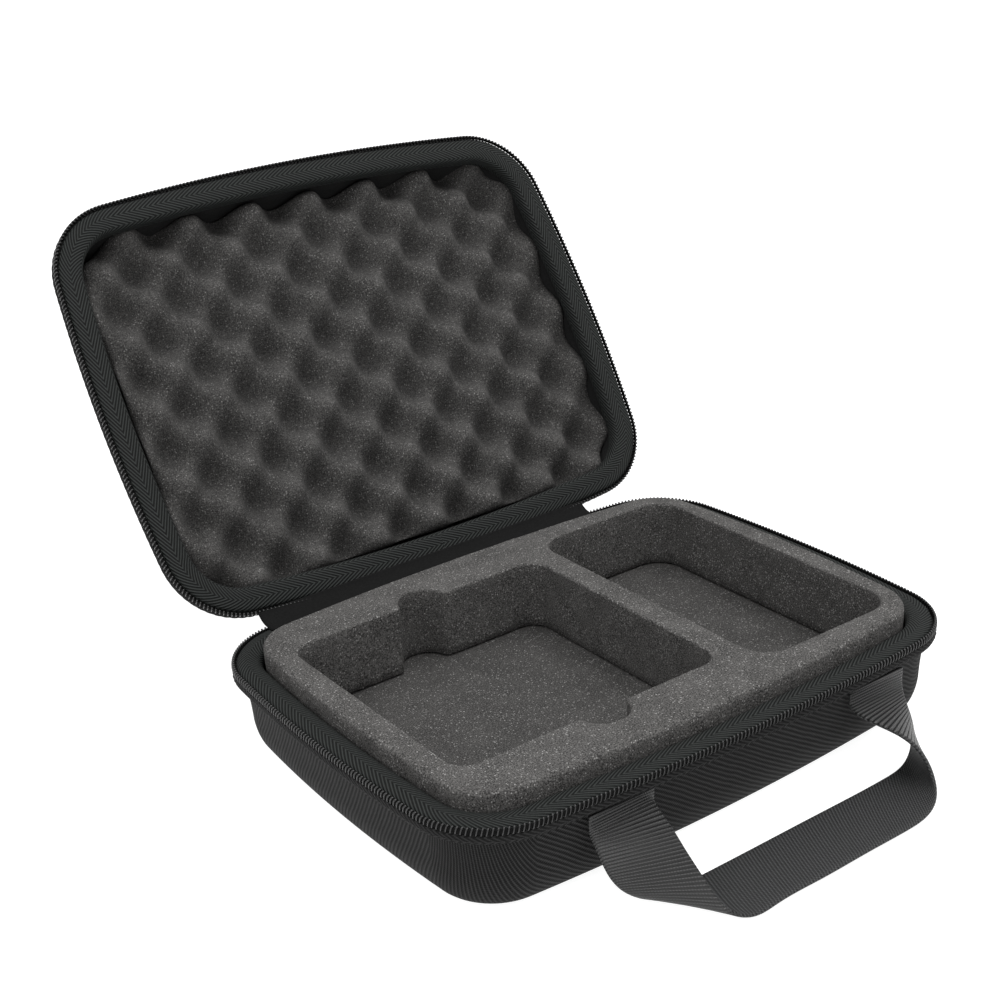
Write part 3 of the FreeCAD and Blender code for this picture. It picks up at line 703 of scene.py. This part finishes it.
def foam_material(name, dark, light, painted_glint, hollows=1.0):
    """Open-cell foam: dark pores, a soft grain and painted glints on random cells, where their skins would
    catch the light.

    Hollows is how light the bottoms of an egg-crate's hollows are painted next to its peaks, a painted
    shade.
    """
    s = Surface(name)
    position = s.position()
    grain = s.noise(0.00048, 2.0, position)
    mottle = s.noise(0.009, 2.0, position)
    # Painted highlight: random cells are mixed towards a light colour as glints.
    cells = s.node("ShaderNodeTexVoronoi", {"Vector": position, "Scale": 1 / 0.00078})
    luck = s.node("ShaderNodeSeparateColor", {0: cells.outputs["Color"]})
    near = s.map(cells.outputs["Distance"], 0.42, 0.14)
    painted_glint_mask = s.math("MULTIPLY", near, s.map(luck.outputs[0], 0.55, 1.0))
    tone = s.math("ADD", s.map(grain, 0.38, 0.62, 0.0, 0.8), s.map(mottle, 0.3, 0.7, 0.0, 0.2))
    base = s.colour(tone, dark, light)
    mix = s.node("ShaderNodeMix", data_type="RGBA")
    s.feed(mix.inputs[0], painted_glint_mask)
    s.feed(mix.inputs[6], base)
    s.feed(mix.inputs[7], (*painted_glint, 1))
    colour = mix.outputs[2]
    # Painted shade: the colour darkens towards the bottoms of the egg-crate's hollows.
    if hollows < 1.0:
        depth = s.node("ShaderNodeAttribute", attribute_name="hollow").outputs["Fac"]
        shade = s.node("ShaderNodeVectorMath", {0: colour}, operation="SCALE")
        s.feed(shade.inputs["Scale"], s.map(depth, 0.15, 0.95, 1.0, hollows))
        colour = shade.outputs[0]
    return s.finish(colour, 0.95, grain, 0.0003, 0.5, Specular_IOR_Level=0.12)


def shell_cloth():
    """Ballistic cloth: diagonal ribs of paired threads."""
    s = Surface("ribbed_shell_cloth")
    u, v = s.cloth()
    sine, cosine = math.sin(SHELL_RIB_ANGLE), math.cos(SHELL_RIB_ANGLE)
    across = s.math("SUBTRACT", s.math("MULTIPLY", v, cosine), s.math("MULTIPLY", u, sine))
    along = s.math("ADD", s.math("MULTIPLY", u, cosine), s.math("MULTIPLY", v, sine))
    uneven = s.math("MULTIPLY", s.noise(0.012), 0.0009)
    rib = s.wave(s.math("ADD", across, uneven), SHELL_RIB_PITCH)
    thread = s.wave(s.math("ADD", along, s.math("MULTIPLY", across, 0.25)), 0.00085)
    height = s.math("ADD", s.math("MULTIPLY", rib, 0.75), s.math("MULTIPLY", thread, 0.25))
    wear = s.math("MULTIPLY", s.noise(0.03, 3.0), 0.3)
    tone = s.math("MULTIPLY", height, s.math("ADD", 0.8, wear))
    # Darker in the grooves and lighter on the raised ribs: a painted shade and highlight of the cloth's
    # relief, which the wear noise varies at random.
    colour = s.colour(s.math("POWER", tone, 1.6), grey(0.002), grey(0.040))
    return s.finish(colour, 0.7, height, 0.0006, 1.0, Specular_IOR_Level=0.12)


def herringbone_cloth(name, dark, light, column, pitch, shift=0.0):
    """Herringbone twill tape: diagonal ribs that change direction from column to column."""
    s = Surface(name)
    u, v = s.cloth()
    folded = s.math("PINGPONG", s.math("ADD", v, shift), column)
    sine, cosine = math.sin(HERRINGBONE_ANGLE), math.cos(HERRINGBONE_ANGLE)
    diagonal = s.math("ADD", s.math("MULTIPLY", u, sine), s.math("MULTIPLY", folded, cosine))
    rib = s.wave(diagonal, pitch)
    grain = s.noise(0.0006, 2.0)
    height = s.math("ADD", s.math("MULTIPLY", rib, 0.8), s.math("MULTIPLY", grain, 0.2))
    # Darker between the ribs and lighter on them: a painted shade and highlight of the twill's relief.
    tone = s.math("POWER", height, 1.5)
    return s.finish(s.colour(tone, dark, light), 0.75, height, 0.0004, 0.9, Specular_IOR_Level=0.12)


def webbing_outside():
    """Ribbed face of the nylon webbing: ribs across it, each of short raised threads."""
    s = Surface("webbing_ribbed_face")
    u, v = s.cloth()
    rib = s.wave(v, WEBBING_RIB_PITCH)
    stagger = s.math("MULTIPLY", s.math("FLOOR", s.math("DIVIDE", v, WEBBING_RIB_PITCH)), 0.00045)
    thread = s.wave(s.math("ADD", u, stagger), 0.0009)
    height = s.math("MULTIPLY", s.math("POWER", rib, 0.7), s.math("MULTIPLY_ADD", thread, 0.35, 0.65))
    # Darker between the ribs and lighter on the raised threads: painted shade and painted glints of the
    # webbing's relief.
    colour = s.colour(s.math("POWER", height, 1.5), grey(0.002), grey(0.034))
    return s.finish(colour, 0.38, height, 0.0005, 0.9, Specular_IOR_Level=0.45)


def webbing_inside():
    """Twill face of the same webbing."""
    s = Surface("webbing_twill_face")
    u, v = s.cloth()
    diagonal = s.math("ADD", s.math("MULTIPLY", v, 0.87), s.math("MULTIPLY", u, 0.5))
    rib = s.wave(diagonal, WEBBING_TWILL_PITCH)
    counter = s.wave(s.math("SUBTRACT", s.math("MULTIPLY", u, 0.87), s.math("MULTIPLY", v, 0.5)), 0.0009)
    height = s.math("ADD", s.math("MULTIPLY", rib, 0.6), s.math("MULTIPLY", counter, 0.4))
    # Darker in the twill's grooves and lighter on its ribs: a painted shade and highlight of its relief.
    colour = s.colour(s.math("POWER", height, 1.5), grey(0.004), grey(0.056, -0.02))
    return s.finish(colour, 0.5, height, 0.0004, 0.8, Specular_IOR_Level=0.25)


def plain_cloth(name, dark, light):
    """Thin close-woven cloth without (u, v) of its own."""
    s = Surface(name)
    grain = s.noise(0.0007, 3.0)
    return s.finish(s.colour(grain, dark, light), 0.85, grain, 0.0002, 0.5, Specular_IOR_Level=0.08)


def coil_nylon():
    """Glossy black monofilament."""
    s = Surface("coil_nylon")
    colour = s.colour(s.noise(0.004), grey(0.003), grey(0.008))
    return s.finish(colour, 0.25, Specular_IOR_Level=0.5)


def moulded_nylon():
    s = Surface("moulded_nylon")
    grain = s.noise(0.0005)
    return s.finish(s.colour(grain, grey(0.010), grey(0.02)), 0.5, grain, 0.0001, 0.3)


def black_enamel():
    """Satin enamel over a die-cast slider."""
    s = Surface("black_enamel")
    ripple = s.noise(0.0016, 1.0)
    rough = s.map(s.noise(0.003, 2.0), 0.3, 0.7, 0.25, 0.4)
    return s.finish(s.colour(ripple, grey(0.010), grey(0.017)), rough, ripple, 0.0001, 0.2, Coat_Weight=0.3)


def thread_material():
    s = Surface("polyester_thread")
    return s.finish(s.colour(s.noise(0.0005), grey(0.006), grey(0.028)), 0.6, Specular_IOR_Level=0.2)


def floor_material():
    """Backlit white sweep: its own glow leaves no shadow round the case."""
    s = Surface("backlit_floor")
    tone = s.noise(0.4, 1.0)
    white = s.colour(tone, grey(0.30), grey(0.32))
    return s.finish(white, 0.9, Specular_IOR_Level=0.1, Emission_Color=(1, 1, 1, 1), Emission_Strength=0.92)


# ---------------------------------------------------------------- pieces

def build_shells():
    cloth = shell_cloth()
    halves = (("base", BASE_OUTLINE, in_base, BASE_FOOT), ("lid", LID_OUTLINE, in_lid, LID_FOOT))
    for body, outline, place, foot in halves:
        skin = shell_skin(body + "_shell_skin", outline, place, foot)
        finished(skin, body, [cloth], [body + "_shell"])


def binding_profile(reach, lip_depth):
    """Section of the binding: a soft roll from the coil in to the reach, its lip turned down."""
    return rounded([(0.0018, 0.0018), (0.0024, 0.0008), (0.0044, 0.0005), (reach - 0.0026, 0.0005),
                    (reach - 0.0007, 0.0012), (reach, 0.0029), (reach - 0.0001, lip_depth),
                    (reach - 0.0007, lip_depth), (reach - 0.0010, 0.0035), (reach - 0.0020, 0.0026),
                    (0.0020, 0.0025)])


def build_rims():
    tape = herringbone_cloth("zipper_tape_weave", grey(0.003), grey(0.024), 0.0018, 0.0011)
    cloth = herringbone_cloth("binding_herringbone", (0.0020, 0.0024, 0.0023), (0.0330, 0.0360, 0.0345),
                              HERRINGBONE_COLUMN, HERRINGBONE_PITCH)
    nylon = coil_nylon()
    core = plain_cloth("coil_core_cord", grey(0.002), grey(0.006))
    thread = thread_material()
    tape_profile = rounded([(0.0073, 0.0027), (0.0026, 0.0022), (0.0016, 0.0022), (0.0010, 0.0028),
                            (0.0003, 0.0034), (0.0004, 0.0058), (0.0015, 0.0058), (0.0016, 0.0042),
                            (0.0022, 0.0035), (0.0073, 0.0035)])
    core_phase = np.linspace(0, 2 * math.pi, 12, endpoint=False)
    halves = (("base", BASE_OUTLINE, in_base, BASE_BINDING), ("lid", LID_OUTLINE, in_lid, LID_BINDING))
    for body, outline, place, binding in halves:
        finished(swept(body + "_tape", outline, tape_profile, place),
                 body, [tape], [body + "_zipper_tape"])
        finished(swept(body + "_binding", outline, binding_profile(*binding), place),
                 body, [cloth], [body + "_binding_tape"])
        finished(zipper_coil(body + "_coil_wire", outline, place),
                 body, [nylon], [body + "_zipper_coil"])
        finished(swept(body + "_coil_core", outline, coil_section(core_phase, COIL_CORE_SHARE), place),
                 body, [core])
        finished(rim_stitches(body + "_lip_stitches", outline, place, 0.0005, 0.0048),
                 body, [thread], [body + "_rim_stitching"])


def build_foam():
    tray_foam = foam_material("tray_foam", grey(0.016, 0.02), grey(0.104, 0.03), grey(0.30, 0.02))
    tray = foam_block("foam_tray_block", evenly(BASE_OUTLINE.inside(TRAY_INSET)),
                      [pocket_loop(LARGE_POCKET, notched=True), pocket_loop(SMALL_POCKET)],
                      TRAY_UNDERSIDE_Z, TRAY_TOP_Z, 0.0018, 0.0009)
    finished(tray, "base", [tray_foam], ["foam_tray"])
    # The floor sheet is a darker copy of the tray foam: a painted shade for the pocket floors where it
    # shows.
    shaded_floor_foam = foam_material("shaded_floor_foam", grey(0.016, 0.02), grey(0.074, 0.03), grey(0.27, 0.02))
    floor = foam_block("foam_floor_sheet", evenly(BASE_OUTLINE.inside(FLOOR_INSET)), [],
                       FLOOR_UNDERSIDE_Z, TRAY_UNDERSIDE_Z - 0.0001, 0.0008, 0.0008, FLOOR_FOOT_TAPER)
    finished(floor, "base", [shaded_floor_foam], ["foam_floor"])
    # The egg-crate's hollows get a painted shade, down to 0.6 of the colour at the peaks.
    crate_foam = foam_material("egg_crate_foam_cells", grey(0.018, 0.02), grey(0.078, 0.03),
                               grey(0.22, 0.02), hollows=0.6)
    crate = egg_crate("egg_crate_pad")
    finished(crate, "lid", [crate_foam], ["egg_crate_foam"])


def build_webbing():
    handle = carry_handle("carry_handle")
    finished(handle, None, [webbing_outside(), webbing_inside()],
             ["handle_webbing", "handle_sewn_end_left", "handle_sewn_end_right"])
    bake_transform(handle)
    strip = hinge_strip("hinge_cloth")
    finished(strip, None, [plain_cloth("hinge_weave", grey(0.002), grey(0.009))],
             ["hinge_strip_base", "hinge_strip_lid"])
    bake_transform(strip)


def paint_cad_nodes():
    lining = plain_cloth("lining_knit", grey(0.006), grey(0.020))
    nylon, enamel = moulded_nylon(), black_enamel()
    looks = {"base_lining": lining, "lid_lining": lining,
             "zipper_stop_left": nylon, "zipper_stop_right": nylon}
    for side in ("left", "right"):
        looks["slider_" + side] = enamel
        looks["pull_tab_" + side] = enamel
    for node, material in looks.items():
        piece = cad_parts[node]
        for piece_slot in piece.material_slots:
            piece_slot.material = material


# ---------------------------------------------------------------- studio

def area_light(name, place, aim, size, power):
    light = bpy.data.lights.new(name, "AREA")
    light.shape = "RECTANGLE"
    light.size, light.size_y = size
    light.energy = power
    lamp = bpy.data.objects.new(name, light)
    bpy.context.scene.collection.objects.link(lamp)
    lamp.location = place
    lamp.rotation_euler = (Vector(aim) - Vector(place)).to_track_quat("-Z", "Y").to_euler()


def build_studio():
    bpy.ops.mesh.primitive_plane_add(size=30, location=(0, 0, 0))
    floor = bpy.context.object
    floor.name = "studio_floor"
    floor.data.materials.append(floor_material())
    world = bpy.data.worlds.new("studio")
    bpy.context.scene.world = world
    world.use_nodes = True
    nodes, links = world.node_tree.nodes, world.node_tree.links
    direction = nodes.new("ShaderNodeTexCoord")
    parts = nodes.new("ShaderNodeSeparateXYZ")
    sky = nodes.new("ShaderNodeMapRange")
    sky.inputs["To Min"].default_value, sky.inputs["To Max"].default_value = SKY_HORIZON, SKY_ZENITH
    links.new(direction.outputs["Generated"], parts.inputs[0])
    links.new(parts.outputs[2], sky.inputs["Value"])
    links.new(sky.outputs[0], nodes["Background"].inputs["Strength"])
    nodes["Background"].inputs["Color"].default_value = (1, 1, 1, 1)
    area_light("key", (0.25, -0.30, 1.4), (0, 0.05, 0.05), (1.1, 1.1), 12)
    area_light("left_rim", (-1.1, -0.3, 0.8), (0, 0.05, 0.08), (0.3, 0.5), 2)


def build_camera():
    """Camera at the photograph's viewing angle, slightly rolled."""
    azimuth, elevation, roll = (math.radians(angle) for angle in CAMERA_ANGLES)
    back = Vector((math.sin(azimuth) * math.cos(elevation), -math.cos(azimuth) * math.cos(elevation),
                   math.sin(elevation)))
    level_right = Vector((math.cos(azimuth), math.sin(azimuth), 0))
    level_up = back.cross(level_right)
    right = level_right * math.cos(roll) + level_up * math.sin(roll)
    up = level_up * math.cos(roll) - level_right * math.sin(roll)
    data = bpy.data.cameras.new("camera")
    data.lens, data.sensor_width = CAMERA_LENS, 36.0
    camera = bpy.data.objects.new("camera", data)
    bpy.context.scene.collection.objects.link(camera)
    turn = Matrix((right, up, back)).transposed()
    camera.matrix_world = Matrix.Translation(CAMERA_PLACE) @ turn.to_4x4()
    bpy.context.scene.camera = camera


build_shells()
build_rims()
build_foam()
build_webbing()
paint_cad_nodes()
build_studio()
build_camera()
bpy.context.scene.view_settings.view_transform = "Standard"
